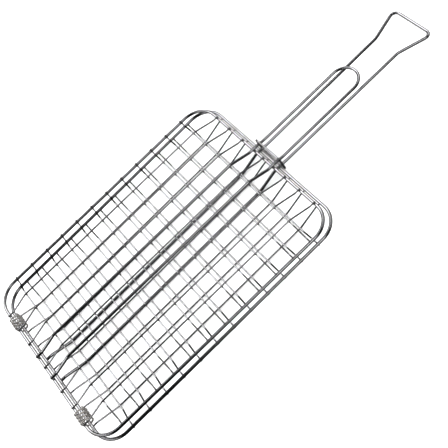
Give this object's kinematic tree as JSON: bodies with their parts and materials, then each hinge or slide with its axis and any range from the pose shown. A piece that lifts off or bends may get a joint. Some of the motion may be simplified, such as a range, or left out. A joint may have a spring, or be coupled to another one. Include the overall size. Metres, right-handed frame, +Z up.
{
  "type": "grill basket",
  "caption": "Flat hinged wire grill basket: two shallow welded-wire trays joined by hinge coils, with a short and a long wire handle clamped by a sliding lock ring.",
  "frame": {"origin": "under the middle of the whole closed basket, handles included, on the surface it lies on", "axes": "+X from the hinge towards the handles, +Y across the trays, +Z up"},
  "size_m": [0.7008, 0.3106, 0.0435],
  "materials": {
    "chrome_wire": "bright chrome plating on drawn steel wire",
    "hinge_coil_chrome": "slightly warmer plated spring wire",
    "lock_ring_chrome": "bright chrome plating, a little scuffed"
  },
  "bodies": {
    "bottom_half": {"bottom_rim": "chrome_wire", "bottom_cross_wire_01": "chrome_wire", "bottom_cross_wire_02": "chrome_wire", "bottom_cross_wire_03": "chrome_wire", "bottom_cross_wire_04": "chrome_wire", "bottom_cross_wire_05": "chrome_wire", "bottom_cross_wire_06": "chrome_wire", "bottom_cross_wire_07": "chrome_wire", "bottom_cross_wire_08": "chrome_wire", "bottom_cross_wire_09": "chrome_wire", "bottom_cross_wire_10": "chrome_wire", "bottom_cross_wire_11": "chrome_wire", "bottom_cross_wire_12": "chrome_wire", "bottom_long_wire_1": "chrome_wire", "bottom_long_wire_2": "chrome_wire", "bottom_long_wire_3": "chrome_wire", "bottom_long_wire_4": "chrome_wire", "bottom_long_wire_5": "chrome_wire", "bottom_long_wire_6": "chrome_wire", "bottom_long_wire_7": "chrome_wire", "long_handle_wire": "chrome_wire", "hinge_coil_left": "hinge_coil_chrome", "hinge_coil_right": "hinge_coil_chrome"},
    "top_half": {"top_rim": "chrome_wire", "top_cross_wire_01": "chrome_wire", "top_cross_wire_02": "chrome_wire", "top_cross_wire_03": "chrome_wire", "top_cross_wire_04": "chrome_wire", "top_cross_wire_05": "chrome_wire", "top_cross_wire_06": "chrome_wire", "top_cross_wire_07": "chrome_wire", "top_cross_wire_08": "chrome_wire", "top_cross_wire_09": "chrome_wire", "top_cross_wire_10": "chrome_wire", "top_cross_wire_11": "chrome_wire", "top_cross_wire_12": "chrome_wire", "top_long_wire_1": "chrome_wire", "top_long_wire_2": "chrome_wire", "top_long_wire_3": "chrome_wire", "top_long_wire_4": "chrome_wire", "top_long_wire_5": "chrome_wire", "top_long_wire_6": "chrome_wire", "top_long_wire_7": "chrome_wire", "short_handle_wire": "chrome_wire"},
    "lock_ring": {"lock_ring": "lock_ring_chrome"}
  },
  "joints": [
    {"name": "tray_hinge", "type": "hinge", "parent": "bottom_half", "child": "top_half", "pos_m": [-0.3452, 0, 0.0276], "axis": [0, -1, 0], "range_deg": [0, 180]},
    {"name": "lock_ring_slide", "type": "slide", "parent": "bottom_half", "child": "lock_ring", "axis": [1, 0, 0], "range_m": [0, 0.2]}
  ]
}
